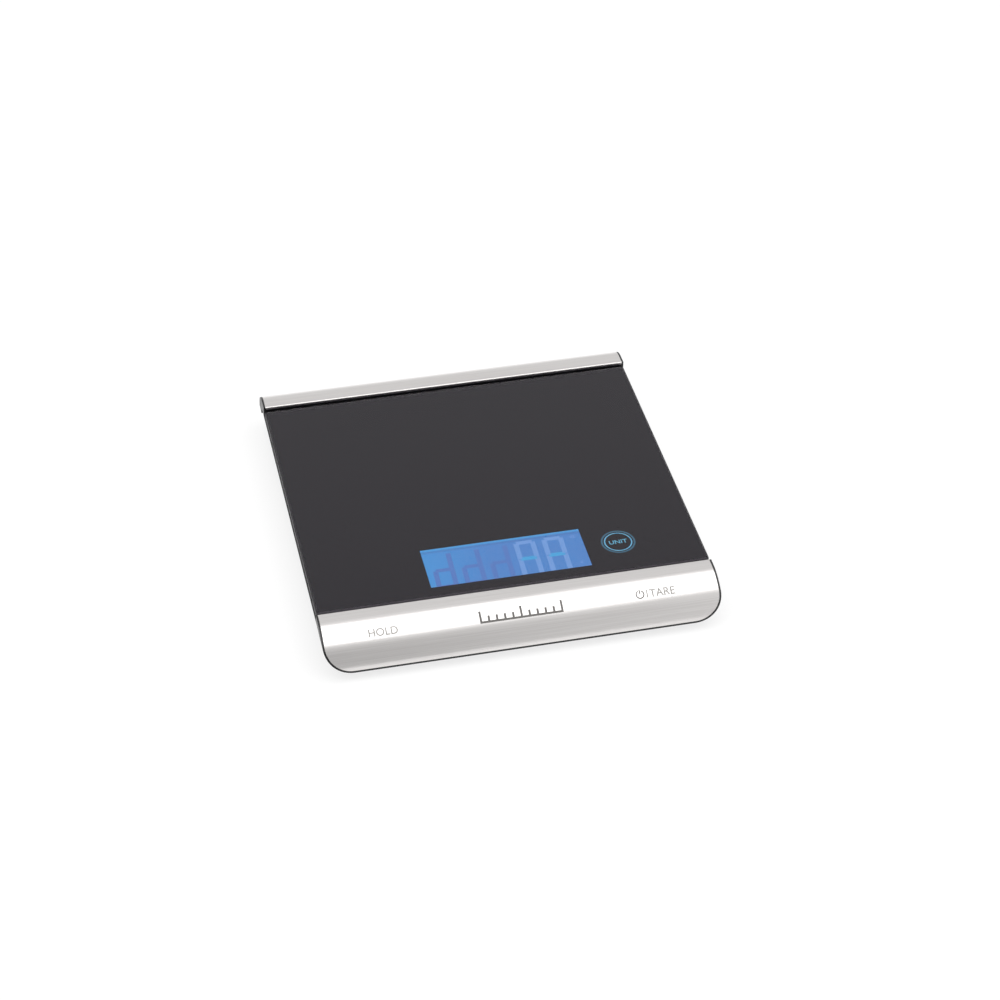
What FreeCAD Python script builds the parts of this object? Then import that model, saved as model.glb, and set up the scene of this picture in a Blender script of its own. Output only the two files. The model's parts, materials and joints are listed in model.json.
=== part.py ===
import FreeCAD, Part
import math
import os

# Slim glass-topped kitchen scale. All sizes in millimetres.
# The origin is on the table, under the middle of the body's outline: +X is the right side,
# +Y the back and +Z up. The body stands on four feet and weighs what lies on its glass.

# ---------------------------------------------------------------- driving sizes
# Glass platform
glass_width = 200.0
glass_depth = 170.0
glass_thickness = 4.0
glass_corner = 1.5
glass_bevel = 0.8

# Layers between the glass and the frame's deck
print_thickness = 0.1
adhesive_thickness = 0.2
adhesive_width = 9.0
deck_thickness = 1.7

# Steel trims
steel_thickness = 0.6
front_gap = 1.2            # shadow gap between the glass and the front trim
back_gap = 0.56            # the same at the back
trim_rim = 1.0             # plastic left round the ends and the lower edge of each trim
trim_play = 0.1            # between a trim's cut edge and the rim
tape_thickness = 0.1       # adhesive tape under each trim
front_flat = 3.76
front_bend = 22.7
front_corner = 13.5        # corner radius of the front blank before it is bent
front_proud = 0.2          # front trim above the glass
front_clearance = 5.4      # lower edge of the front trim above the table
back_flat = 6.1
back_bend = 12.7
back_fold = 1.4            # depth of the back trim's turned-down inner edge
back_fold_corner = 0.6     # lower corners of that edge
back_proud = 2.0           # back trim above the glass
back_bend_end = 80.0       # degrees turned by the back bend

# Frame and housing mouldings
frame_overhang = 0.45      # frame beyond the glass on each side
wall = 1.8
skirt_drop = 0.5           # upright side of the frame below its deck's top
lip_drop = 2.8             # slanted lip of the frame below the skirt
side_slant = 0.6           # inward run of the housing's sides for each unit of drop
shell_gap = 0.15           # between the frame's lip and the housing
nest_gap = 0.2             # between the noses of the frame and the housing nested in them
floor_height = 2.5         # underside of the housing above the table
back_corner_round = 8.0
front_corner_round = 17.0  # front corners of the housing's floor, inside the nose

# Battery compartment: two AAA cells side by side
cell_diameter = 10.5
cell_length = 44.5
cell_nub = 0.8
cell_gap = 1.0
door_thickness = 1.5
door_gap = 0.3
battery_play = 0.15
battery_roof = 0.9
battery_wall = 2.4
battery_from_back = 45.0   # middle of the cells to the back edge of the glass
spring_room = 5.0
contact_thickness = 0.4
contact_play = 0.1         # between a contact and the end wall
contact_width = 8.0
contact_bump_height = 1.5
spring_radius = 3.0
spring_wire = 0.6
door_pin_radius = 0.5
door_pin_play = 0.05
door_pin_length = 1.0

# Display
window_width = 82.4
window_depth = 29.3
window_from_front = 24.2   # middle of the window to the front edge of the glass
window_offset = 0.5        # printed window's place to the right of the middle
lcd_border = 2.6           # display glass beyond the window on each side
lcd_thickness = 2.2
diffuser_thickness = 2.6
bezel_wall = 1.2
display_play = 0.15
zebra_thickness = 1.8
board_gap = 1.8            # between the diffuser and the main board
board_thickness = 1.2
board_margin_x = 5.0
board_margin_y = 5.0

# Touch key for the unit
unit_from_window = 17.4    # middle of the key to the right edge of the window
unit_ahead = 0.4           # key's middle nearer the back than the window's middle
unit_ring_radius = 6.9
unit_ring_width = 0.7
unit_guide_radius = 9.0
unit_guide_thickness = 3.6
unit_led_height = 0.8
unit_board_length = 30.0
touch_wire = 0.6
touch_coil_radius = 9.8

# Hidden keys under the front trim
key_from_end = 31.5        # middle of each key to the end of the front trim
key_along_trim = 15.76     # from the trim's inner edge, measured over the bend
key_travel = 0.3
key_width = 11.0
key_depth = 8.0
key_play = 0.3
key_flange = 1.3           # flange beyond the pad all round
key_flange_thickness = 1.0
key_board_width = 24.0
key_board_depth = 12.0
switch_size = 6.0
switch_height = 3.5
switch_button_radius = 1.7
switch_button_height = 0.9

# Feet and load cells
foot_inset_x = 25.5        # middle of each foot to the side of the glass
foot_inset_y = 30.0        # middle of each foot to the front or back of the glass
foot_radius = 11.0
foot_play = 0.5
foot_travel = 0.3
pad_radius = 9.5
pad_height = 0.8
pad_recess = 0.6
load_cell_size = 30.0
load_cell_thickness = 2.0
load_cell_height = 1.3     # load cell above the housing's floor
tongue_width = 11.0
tongue_slot = 2.0
tongue_reach = 20.0
pin_radius = 2.0
pin_play = 0.2
pin_head = 2.9
retainer_thickness = 1.6

# Screws
screw_radius = 1.25
screw_play = 0.05
screw_head_radius = 2.6
screw_head_height = 1.8
small_screw_radius = 0.9
small_head_radius = 1.7
small_head_height = 1.1

# Leads and contact tails
lead_radius = 0.9
lead_bend = 3.0
lead_play = 0.25           # between a lead and the underside of the main board, at the least
tail_width = 2.0
tail_reach = 1.5           # contact tail beyond the battery compartment's wall

# ---------------------------------------------------------------- levels and places
door_top = floor_height + door_thickness
cell_bottom = door_top + battery_play
roof_bottom = cell_bottom + cell_diameter + 0.1
roof_top = roof_bottom + battery_roof
floor_top = floor_height + wall
load_cell_bottom = floor_top + load_cell_height
load_cell_top = load_cell_bottom + load_cell_thickness
lead_level = load_cell_top + lead_radius + 0.1
display_stack = (lcd_thickness + diffuser_thickness + board_gap + board_thickness
                 + display_play - deck_thickness - adhesive_thickness)
board_room = lead_level + lead_radius + lead_play + display_stack
deck_bottom = max(roof_top + battery_play, board_room)
deck_top = deck_bottom + deck_thickness
adhesive_top = deck_top + adhesive_thickness
glass_bottom = adhesive_top + print_thickness
glass_top = glass_bottom + glass_thickness
skirt_bottom = deck_top - skirt_drop
lip_bottom = skirt_bottom - lip_drop
housing_top = lip_bottom - shell_gap

front_top = glass_top + front_proud
back_top = glass_top + back_proud
front_bend_end = math.degrees(math.acos(1 - (front_top - front_clearance) / front_bend))

frame_half = glass_width / 2 + frame_overhang
trim_half = frame_half - trim_rim
recess_half = trim_half + trim_play
lip_half = frame_half - wall
housing_half = lip_half - nest_gap
recess_depth = steel_thickness + tape_thickness
carrier_depth = recess_depth + wall

front_reach = (glass_depth / 2 + front_gap + front_flat
               + front_bend * math.sin(math.radians(front_bend_end) + trim_rim / front_bend))
back_reach = (glass_depth / 2 + back_gap + back_flat
              + back_bend * math.sin(math.radians(back_bend_end) + trim_rim / back_bend))
glass_y = (front_reach - back_reach) / 2
glass_front = glass_y - glass_depth / 2
glass_back = glass_y + glass_depth / 2

window_x = window_offset
window_y = glass_front + window_from_front
lcd_top = adhesive_top - display_play
lcd_bottom = lcd_top - lcd_thickness
diffuser_bottom = lcd_bottom - diffuser_thickness
board_top = diffuser_bottom - board_gap
board_bottom = board_top - board_thickness

bezel_width = window_width + 2 * (lcd_border + bezel_wall + display_play)
bezel_depth = window_depth + 2 * (lcd_border + bezel_wall + display_play)
main_board_width = bezel_width + 2 * board_margin_x
main_board_depth = bezel_depth + 2 * board_margin_y
post_edge = 2.6            # middle of a post to the edge of the board it carries
board_post_places = [(window_x + sx * (main_board_width / 2 - post_edge),
                      window_y + sy * (main_board_depth / 2 - post_edge))
                     for sx in (-1, 1) for sy in (-1, 1)]

unit_x = window_x + window_width / 2 + unit_from_window
unit_y = window_y + unit_ahead
unit_guide_bottom = lcd_top - unit_guide_thickness
unit_board_top = unit_guide_bottom - unit_led_height
unit_post_places = [(unit_x, unit_y + sy * (unit_board_length / 2 - post_edge)) for sy in (-1, 1)]

battery_y = glass_back - battery_from_back
battery_half_x = cell_length / 2 + spring_room / 2 + contact_thickness * 2 + 0.45
battery_half_y = cell_diameter + cell_gap / 2 + 0.7

foot_places = [(sx * (glass_width / 2 - foot_inset_x), glass_y + sy * (glass_depth / 2 - foot_inset_y))
               for sy in (-1, 1) for sx in (-1, 1)]
foot_names = ["front_left", "front_right", "back_left", "back_right"]
retainer_top = load_cell_top + retainer_thickness
gauge_y = tongue_reach / 2 - 1.0   # strain gauge behind the middle of the load cell
gauge_width = 7.0


# ---------------------------------------------------------------- shape helpers
def vec(x, y, z):
    return FreeCAD.Vector(x, y, z)


def box(x0, x1, y0, y1, z0, z1):
    return Part.makeBox(x1 - x0, y1 - y0, z1 - z0, vec(x0, y0, z0))


def block(x, y, width, depth, z0, z1):
    """Box centred on x, y."""
    return box(x - width / 2, x + width / 2, y - depth / 2, y + depth / 2, z0, z1)


def rod(x, y, z0, z1, radius):
    return Part.makeCylinder(radius, z1 - z0, vec(x, y, z0))


def tube(x, y, z0, z1, outer, inner):
    return rod(x, y, z0, z1, outer).cut(rod(x, y, z0 - 1, z1 + 1, inner))


def rounded_block(x, y, width, depth, z0, z1, radius):
    """Box centred on x, y with its four upright edges rounded."""
    solid = block(x, y, width, depth, z0, z1)
    upright = [e for e in solid.Edges if abs(e.BoundBox.ZLength - (z1 - z0)) < 1e-6]
    return solid.makeFillet(radius, upright)


def outline_face(edges):
    return Part.Face(Part.Wire(edges))


def polygon_face(points):
    return Part.Face(Part.makePolygon(list(points) + [points[0]]))


def line(a, b):
    return Part.LineSegment(a, b).toShape()


def arc(a, middle, b):
    return Part.Arc(a, middle, b).toShape()


def along_x(face, x0, x1):
    """Extrude a face drawn at x = 0 from x0 to x1."""
    face.translate(vec(x0, 0, 0))
    return face.extrude(vec(x1 - x0, 0, 0))


def coil(radius, wire, height, turns):
    """Round wire wound up the Z axis from z = 0, each turn in twelve short runs."""
    runs = round(turns * 12)
    points = []
    for i in range(runs + 1):
        angle = 2 * math.pi * turns * i / runs
        points.append(vec(radius * math.cos(angle), radius * math.sin(angle), height * i / runs))
    section = Part.Wire(Part.makeCircle(wire / 2, points[0], (points[1] - points[0]).normalize()))
    right_corners = 1
    return Part.makePolygon(points).makePipeShell([section], True, False, right_corners)


def cut_all(solid, tools):
    for tool in tools:
        solid = solid.cut(tool)
    return solid


def fuse_all(solids):
    result = solids[0].multiFuse(solids[1:])
    return result.removeSplitter()


# ---------------------------------------------------------------- the two rounded noses
class Nose:
    """Curved end of the body: level from the glass's edge, then bent down over a radius."""

    def __init__(self, way, edge_y, top, flat, radius, bend_end):
        self.way = way
        self.edge_y = edge_y
        self.bend_y = edge_y + way * flat
        self.top = top
        self.flat = flat
        self.radius = radius
        self.centre_z = top - radius
        self.trim_end = math.radians(bend_end)
        self.rim_end = self.trim_end + trim_rim / radius

    def point(self, angle, depth, x=0.0):
        """Point at an angle over the bend, a depth under the outer face."""
        reach = self.radius - depth
        return vec(x, self.bend_y + self.way * reach * math.sin(angle),
                   self.centre_z + reach * math.cos(angle))

    def height(self, y, depth):
        """Height of the layer at a depth under the outer face."""
        run = self.way * (y - self.bend_y)
        if run <= 0:
            return self.top - depth
        return self.centre_z + math.sqrt((self.radius - depth) ** 2 - run ** 2)

    def band(self, outer, inner, end, half_width, start=0.0):
        """Layer between two depths, from the inner edge to an angle, over the whole width."""
        y_edge = self.edge_y + self.way * start
        a, b = vec(0, y_edge, self.top - outer), self.point(0, outer)
        c, d = self.point(end, outer), self.point(end, inner)
        e, f = self.point(0, inner), vec(0, y_edge, self.top - inner)
        edges = [line(a, b), arc(b, self.point(end / 2, outer), c), line(c, d),
                 arc(d, self.point(end / 2, inner), e), line(e, f), line(f, a)]
        return along_x(outline_face(edges), -half_width, half_width)

    def corner_waste(self, half_width, corner, end):
        """The two pieces that rounding the flat blank's outer corners would remove."""
        start = end - corner / self.radius
        steps = 8
        curve = []
        for i in range(steps + 1):
            turn = math.pi / 2 * i / steps
            level = self.point(start + (end - start) * math.sin(turn), 0).z
            curve.append(vec(half_width - corner * (1 - math.cos(turn)), 0, level))
        spline = Part.BSplineCurve()
        spline.interpolate(curve)
        side, below = half_width + 5, curve[-1].z - 5
        corners = [vec(curve[-1].x, 0, below), vec(side, 0, below), vec(side, 0, curve[0].z)]
        edges = [spline.toShape(), line(curve[-1], corners[0]), line(corners[0], corners[1]),
                 line(corners[1], corners[2]), line(corners[2], curve[0])]
        face = outline_face(edges)
        face.translate(vec(0, self.bend_y, 0))
        right = face.extrude(vec(0, self.way * (self.radius + 5), 0))
        left = right.mirror(vec(0, 0, 0), vec(1, 0, 0))
        return [left, right]


front = Nose(-1, glass_front - front_gap, front_top, front_flat, front_bend, front_bend_end)
back = Nose(1, glass_back + back_gap, back_top, back_flat, back_bend, back_bend_end)
rim_corner = front_corner + trim_rim

key_angle = (key_along_trim - front_flat) / front_bend
key_places = {"hold": -(trim_half - key_from_end), "tare": trim_half - key_from_end}


def at_key(solid, x):
    """Carry a solid drawn about the key's axis, outer face at z = 0, to its place on the bend."""
    solid.rotate(vec(0, 0, 0), vec(1, 0, 0), math.degrees(key_angle))
    solid.translate(front.point(key_angle, 0, x))
    return solid


# Levels under a key, measured down from the trim's outer face along the key's axis
pad_top_depth = steel_thickness + 0.06
flange_half = key_depth / 2 + key_flange
flange_top = -(front_bend - math.sqrt((front_bend - carrier_depth) ** 2 - flange_half ** 2) + 0.12)
flange_bottom = flange_top - key_flange_thickness
stem_bottom = flange_bottom - 1.4
switch_top = stem_bottom - switch_button_height
key_board_top = switch_top - switch_height
key_board_bottom = key_board_top - board_thickness
key_post_x = key_board_width / 2 - post_edge


# ---------------------------------------------------------------- glass, print and adhesive
def glass_platform():
    solid = rounded_block(0, glass_y, glass_width, glass_depth, glass_bottom, glass_top, glass_corner)
    rim = [e for e in solid.Edges if e.BoundBox.ZMin > glass_top - 1e-6]
    return solid.makeChamfer(glass_bevel * 0.6, glass_bevel, rim)


def glass_print():
    solid = rounded_block(0, glass_y, glass_width, glass_depth, adhesive_top, glass_bottom, glass_corner)
    window = block(window_x, window_y, window_width, window_depth, adhesive_top - 1, glass_bottom + 1)
    ring = tube(unit_x, unit_y, adhesive_top - 1, glass_bottom + 1,
                unit_ring_radius + unit_ring_width / 2, unit_ring_radius - unit_ring_width / 2)
    return cut_all(solid, [window, ring])


def deck_openings(grow, z0, z1):
    """Openings for the display and the unit key, grown all round."""
    display = block(window_x, window_y, bezel_width + 2 * grow, bezel_depth + 2 * grow, z0, z1)
    key = rod(unit_x, unit_y, z0, z1, touch_coil_radius + touch_wire / 2 + 0.5 + grow)
    return [display, key]


def glass_adhesive():
    outer = block(0, glass_y, glass_width - 4, glass_depth - 4, deck_top, adhesive_top)
    inner = block(0, glass_y, glass_width - 4 - 2 * adhesive_width,
                  glass_depth - 4 - 2 * adhesive_width, deck_top - 1, adhesive_top + 1)
    return cut_all(outer.cut(inner), deck_openings(1.0, deck_top - 1, adhesive_top + 1))


# ---------------------------------------------------------------- steel trims and their tape
def front_trim():
    sheet = front.band(0, steel_thickness, front.trim_end, trim_half)
    return cut_all(sheet, front.corner_waste(trim_half, front_corner, front.trim_end))


def back_trim():
    """Bent strip whose inner edge is turned down over the frame."""
    y, fold_y = back.edge_y, back.edge_y + steel_thickness
    fold_z, low = back_top - steel_thickness, back_top - back_fold
    on_bend = vec(0, fold_y - steel_thickness * math.sqrt(0.5), fold_z + steel_thickness * math.sqrt(0.5))
    a, b = vec(0, fold_y, back_top), vec(0, y, fold_z)
    c, d = vec(0, y, low), vec(0, fold_y, low)
    fold = along_x(outline_face([arc(a, on_bend, b), line(b, c), line(c, d), line(d, a)]),
                   -trim_half, trim_half)
    corners = [e for e in fold.Edges if e.BoundBox.XLength < 1e-6 and e.BoundBox.ZMax < low + 1e-6]
    fold = fold.makeFillet(back_fold_corner, corners)
    sheet = back.band(0, steel_thickness, back.trim_end, trim_half, steel_thickness)
    return fuse_all([sheet, fold])


def trim_tapes():
    """Adhesive tape under each trim, its edges held in from the trim's."""
    inset = 2.0
    tapes = [nose.band(steel_thickness, recess_depth, nose.trim_end - inset / nose.radius,
                       trim_half - inset, inset) for nose in (front, back)]
    windows = [at_key(block(0, 0, key_width + 4, key_depth + 4, -carrier_depth, 1), x)
               for x in key_places.values()]
    corners = front.corner_waste(trim_half - inset, front_corner, front.trim_end - inset / front.radius)
    tapes[0] = cut_all(tapes[0], corners + windows)
    return Part.makeCompound(tapes)


# ---------------------------------------------------------------- upper frame
side_screw_x = glass_width / 2 - 14.5
screw_places = [(-side_screw_x, glass_y), (side_screw_x, glass_y),
                (-30.0, front.edge_y - 7.0), (30.0, front.edge_y - 7.0),
                (-glass_width * 0.3, back.edge_y + 5.0), (glass_width * 0.3, back.edge_y + 5.0)]
screw_seat = floor_height + 3.5
screw_boss_top = screw_seat + 2.0


def nose_shell(nose, corner):
    """Curved carrier under a trim, with end cheeks and a recess that leaves a rim."""
    cheek = nose.top - skirt_bottom
    shell = nose.band(0, cheek, nose.rim_end, frame_half)
    hollow = nose.band(carrier_depth, cheek + 2, nose.rim_end + 0.5, lip_half, wall)
    recess = nose.band(-2, recess_depth, nose.trim_end + trim_play / nose.radius, recess_half, -1)
    if corner:
        shell = cut_all(shell, nose.corner_waste(frame_half, rim_corner, nose.rim_end))
        recess = cut_all(recess, nose.corner_waste(recess_half, front_corner + trim_play,
                                                   nose.trim_end + trim_play / nose.radius))
    riser = box(-lip_half, lip_half, min(nose.edge_y, nose.edge_y + nose.way * wall),
                max(nose.edge_y, nose.edge_y + nose.way * wall), deck_bottom, nose.top - recess_depth - 0.3)
    return shell.cut(hollow).fuse(riser).cut(recess)


def upper_frame():
    deck = box(-frame_half + 1.0, frame_half - 1.0, front.edge_y - 1.0, back.edge_y + 1.0,
               deck_bottom, deck_top)
    lip_points = [vec(frame_half, 0, deck_top), vec(frame_half, 0, skirt_bottom),
                  vec(lip_half, 0, lip_bottom), vec(lip_half - wall, 0, lip_bottom),
                  vec(lip_half - wall, 0, deck_top)]
    lip = polygon_face(lip_points)
    lip.translate(vec(0, front.bend_y - front_bend, 0))
    lip = lip.extrude(vec(0, back.bend_y + back_bend - front.bend_y + front_bend, 0))
    middle = box(0, frame_half + 1, front.edge_y, back.edge_y, lip_bottom - 1, deck_top + 1)
    right_lips = [lip.common(middle)]
    for nose in (front, back):
        inside = nose.band(recess_depth, nose.radius - 0.5, nose.rim_end, frame_half + 1)
        right_lips.append(lip.common(inside))
    right_lips[1] = cut_all(right_lips[1], front.corner_waste(frame_half, rim_corner, front.rim_end))
    lips = right_lips + [part.mirror(vec(0, 0, 0), vec(1, 0, 0)) for part in right_lips]
    posts = [rod(x, y, board_top, deck_bottom + 0.5, 2.4) for x, y in board_post_places]
    posts += [rod(x, y, unit_board_top, deck_bottom + 0.5, 1.8) for x, y in unit_post_places]
    for x, y in screw_places:
        roof = deck_bottom + 0.5
        if y < front.edge_y:
            roof = front.height(y - 4.2, carrier_depth) + 0.8
        if y > back.edge_y:
            roof = back.height(y + 4.2, carrier_depth) + 0.8
        posts.append(rod(x, y, screw_boss_top + shell_gap, roof, 3.4))
    for x in key_places.values():
        for side in (-1, 1):
            posts.append(at_key(rod(side * key_post_x, 0, key_board_top, -carrier_depth + 0.8, 2.2), x))
    frame = fuse_all([nose_shell(front, True), nose_shell(back, False), deck] + lips + posts)
    holes = deck_openings(0.0, deck_bottom - 1, deck_top + 1)
    holes.append(box(-recess_half, recess_half, back.edge_y - 1.0, back.edge_y + steel_thickness + trim_play,
                     back_top - back_fold - trim_play, back_top + 1))
    for x, y in board_post_places:
        holes.append(rod(x, y, board_top - 1, deck_bottom, small_screw_radius + screw_play))
    for x, y in unit_post_places:
        holes.append(rod(x, y, unit_board_top - 1, deck_bottom, small_screw_radius + screw_play))
    for x, y in screw_places:
        holes.append(rod(x, y, screw_boss_top - 1, screw_boss_top + 7.0, screw_radius + screw_play))
    for x in key_places.values():
        holes.append(at_key(block(0, 0, key_width + 2 * key_play, key_depth + 2 * key_play,
                                  -carrier_depth - 1, 1), x))
        for side in (-1, 1):
            holes.append(at_key(rod(side * key_post_x, 0, key_board_top - 1, -carrier_depth - 0.5,
                                    small_screw_radius + screw_play), x))
    return cut_all(frame, holes)


# ---------------------------------------------------------------- lower housing
def plan_outline(half, y0, y1, front_round, back_round, z):
    """Closed outline with rounded corners, seen from above."""
    def corner(cx, cy, radius, from_deg):
        pts = [vec(cx + radius * math.cos(math.radians(from_deg + turn)),
                   cy + radius * math.sin(math.radians(from_deg + turn)), z) for turn in (0, 45, 90)]
        return arc(*pts), pts[0], pts[2]
    corners = [corner(half - back_round, y1 - back_round, back_round, 0),
               corner(-half + back_round, y1 - back_round, back_round, 90),
               corner(-half + front_round, y0 + front_round, front_round, 180),
               corner(half - front_round, y0 + front_round, front_round, 270)]
    edges = []
    for (bend, start, end), (_, following, _) in zip(corners, corners[1:] + corners[:1]):
        edges += [bend, line(end, following)]
    return Part.Wire(edges)


def housing_envelope(inset, top):
    """Outer skin of the housing nested in the frame, drawn in by a wall's thickness."""
    depth = carrier_depth + nest_gap + inset
    low = floor_height + inset
    start = math.acos((top - front.centre_z) / (front.radius - depth))
    tip = front.point(front.rim_end, depth)
    toe = vec(0, tip.y + (tip.z - low), low)
    heel = back.point(math.acos((housing_top - back.centre_z) / (back.radius - depth)), depth).y
    crown = front.point(start, depth)
    far = heel + 20
    far_low, far_top = vec(0, far, low), vec(0, far, top)
    edges = [arc(crown, front.point((start + front.rim_end) / 2, depth), tip), line(tip, toe),
             line(toe, far_low), line(far_low, far_top), line(far_top, crown)]
    nested = along_x(outline_face(edges), -frame_half, frame_half)
    outlines = []
    for level in (low, top):
        shrink = (housing_top - level) * side_slant
        half = housing_half - inset - shrink
        grow = (level - low) * side_slant
        outlines.append(plan_outline(half, tip.y - 1, heel - shrink, front_corner_round - inset + grow,
                                     back_corner_round - inset + grow, level))
    return Part.makeLoft(outlines, True, True).common(nested)


def lower_housing():
    shell = housing_envelope(0, housing_top).cut(housing_envelope(wall, housing_top + 1))
    inner = housing_envelope(wall, housing_top)
    adds = []
    for x, y in foot_places:
        adds.append(rod(x, y, floor_top - 0.5, load_cell_bottom, foot_radius + foot_play + 1.6))
        adds += [rod(px, py, floor_top - 0.5, load_cell_top, 2.6) for px, py in retainer_posts(x, y)]
    adds += [rod(x, y, floor_height + 0.5, screw_boss_top, 4.8) for x, y in screw_places]
    roof_x, roof_y = battery_half_x + battery_wall, battery_half_y + battery_wall
    box_walls = box(-roof_x, roof_x, battery_y - roof_y, battery_y + roof_y, door_top + 0.1, roof_top)
    trimmed = [a.common(inner) if a.BoundBox.ZMin < floor_top else a for a in adds]
    solid = fuse_all([shell, box_walls] + trimmed)
    cuts = [box(-battery_half_x, battery_half_x, battery_y - battery_half_y, battery_y + battery_half_y,
                floor_height - 1, roof_bottom),
            block(0, battery_y, 2 * door_half_x + 2 * door_gap, 2 * door_half_y + 2 * door_gap,
                  floor_height - 1, door_top + 0.1)]
    hinge_y, hinge_z = door_hinge
    for side in (-1, 1):
        hole = Part.makeCylinder(door_pin_radius + door_pin_play, door_pin_length + 0.6,
                                 vec(side * (door_half_x - 0.1), hinge_y, hinge_z), vec(side, 0, 0))
        cuts.append(hole)
        cuts.append(block(battery_half_x, battery_y + side * cell_shift, 2 * battery_wall + 2,
                          tail_width + 0.6, lead_level - 0.5, lead_level + 0.5))
    notch_y = battery_y - battery_half_y
    cuts.append(box(-latch_width / 2 - 0.4, latch_width / 2 + 0.4, notch_y - 1.1, notch_y + 0.1,
                    door_top + 0.1, door_top + 3.4))
    nail = Part.makeSphere(9.0, vec(0, battery_y - door_half_y - 1.0, floor_height - 7.6))
    cuts.append(nail)
    for x in key_places.values():
        room = block(0, 0, key_board_width + 2, key_board_depth + 4, key_board_bottom - 2.0, 0)
        cuts.append(at_key(room, x))
    for x, y in foot_places:
        cuts.append(rod(x, y, floor_height - 1, load_cell_bottom + 1, foot_radius + foot_play))
        cuts += [rod(px, py, load_cell_top - 4.0, load_cell_top + 1, small_screw_radius + screw_play)
                 for px, py in retainer_posts(x, y)]
    for x, y in screw_places:
        cuts.append(rod(x, y, floor_height - 3, screw_seat, screw_head_radius + 0.5))
        cuts.append(rod(x, y, screw_seat - 1, screw_boss_top + 1, screw_radius + 0.25))
    return cut_all(solid, cuts)


# ---------------------------------------------------------------- battery door, cells and contacts
door_half_x = battery_half_x + 1.1
door_half_y = battery_half_y + 1.1
door_hinge = (battery_y + door_half_y - door_thickness / 2, floor_height + door_thickness / 2)
latch_width = 10.0
latch_height = 0.245 * cell_diameter   # low enough to pass under the round of the cell


def battery_door():
    hinge_y, hinge_z = door_hinge
    plate = box(-door_half_x, door_half_x, battery_y - door_half_y, hinge_y, floor_height, door_top)
    edge = Part.makeCylinder(door_thickness / 2, 2 * door_half_x,
                             vec(-door_half_x, hinge_y, hinge_z), vec(1, 0, 0))
    pins = Part.makeCylinder(door_pin_radius, 2 * (door_half_x + door_gap + door_pin_length),
                             vec(-door_half_x - door_gap - door_pin_length, hinge_y, hinge_z), vec(1, 0, 0))
    latch_y = battery_y - battery_half_y + 0.35
    latch = box(-latch_width / 2, latch_width / 2, latch_y, latch_y + 0.9,
                door_top - 0.5, door_top + latch_height)
    nose = Part.makeCylinder(0.45, latch_width - 2,
                             vec(-latch_width / 2 + 1, latch_y, door_top + latch_height - 0.67), vec(1, 0, 0))
    door = fuse_all([plate, edge, pins, latch, nose])
    grip_y = battery_y - door_half_y + 3.5
    grips = [box(-7.0, 7.0, grip_y + 1.8 * i, grip_y + 0.8 + 1.8 * i, floor_height - 1, floor_height + 0.4)
             for i in range(3)]
    nail = Part.makeSphere(9.0, vec(0, battery_y - door_half_y - 1.0, floor_height - 7.6))
    return cut_all(door, grips + [nail])


cell_axis_z = cell_bottom + cell_diameter / 2
cell_shift = cell_diameter / 2 + cell_gap / 2
cell_start = battery_half_x - contact_thickness - contact_play - contact_bump_height - cell_length


def battery_cell(way):
    """One cell: way is +1 with its nub to the right, -1 with its nub to the left."""
    can_length = cell_length - cell_nub
    can = Part.makeCylinder(cell_diameter / 2, can_length, vec(cell_start, 0, cell_axis_z), vec(1, 0, 0))
    ends = [e for e in can.Edges if e.BoundBox.XLength < 1e-6]
    can = can.makeFillet(0.6, ends)
    nub = Part.makeCylinder(1.9, cell_nub + 1, vec(cell_start + can_length - 1, 0, cell_axis_z), vec(1, 0, 0))
    cell = can.fuse(nub)
    if way < 0:
        cell = cell.mirror(vec(0, 0, 0), vec(1, 0, 0))
    cell.translate(vec(0, battery_y + way * cell_shift, 0))
    return cell


def contact_spring(x, y, way):
    """Coil that presses on the flat end of a cell, standing on a contact plate at x."""
    length = cell_start + battery_half_x - contact_thickness - contact_play
    room = 0.06
    solid = coil(spring_radius, spring_wire, length - spring_wire - 2 * room, 3.0)
    solid.rotate(vec(0, 0, 0), vec(0, 1, 0), 90 * way)
    solid.translate(vec(x + way * (spring_wire / 2 + room), y, cell_axis_z))
    return solid


def contact_plate(x, y, way, width):
    """Plate against the end wall: way points from the plate towards the cells."""
    plate = box(min(x, x + way * contact_thickness), max(x, x + way * contact_thickness),
                y - width / 2, y + width / 2, cell_axis_z - 4.0, cell_axis_z + 4.0)
    return plate


def contact_tail(y):
    """Strip that leads a right-hand contact out through the compartment's wall."""
    return box(battery_half_x - contact_thickness, battery_half_x + battery_wall + tail_reach,
               y - tail_width / 2, y + tail_width / 2, lead_level - 0.2, lead_level + 0.2)


def contact_bump(x, y, way):
    base = x + way * (contact_thickness - 0.05)
    return Part.makeCone(2.2, 1.4, contact_bump_height, vec(base, y, cell_axis_z), vec(way, 0, 0))


def battery_link():
    """Left-hand contact that joins the two cells."""
    x = -battery_half_x + contact_play
    plate = contact_plate(x, battery_y, 1, 2 * cell_shift + contact_width)
    plate = plate.fuse(contact_bump(x, battery_y - cell_shift, 1))
    spring = contact_spring(x + contact_thickness, battery_y + cell_shift, 1)
    return Part.makeCompound([plate, spring])


def battery_plus_contact():
    x, y = battery_half_x - contact_play, battery_y + cell_shift
    return fuse_all([contact_plate(x, y, -1, contact_width), contact_bump(x, y, -1), contact_tail(y)])


def battery_minus_contact():
    x, y = battery_half_x - contact_play, battery_y - cell_shift
    plate = contact_plate(x, y, -1, contact_width).fuse(contact_tail(y))
    return Part.makeCompound([plate, contact_spring(x - contact_thickness, y, -1)])


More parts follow.
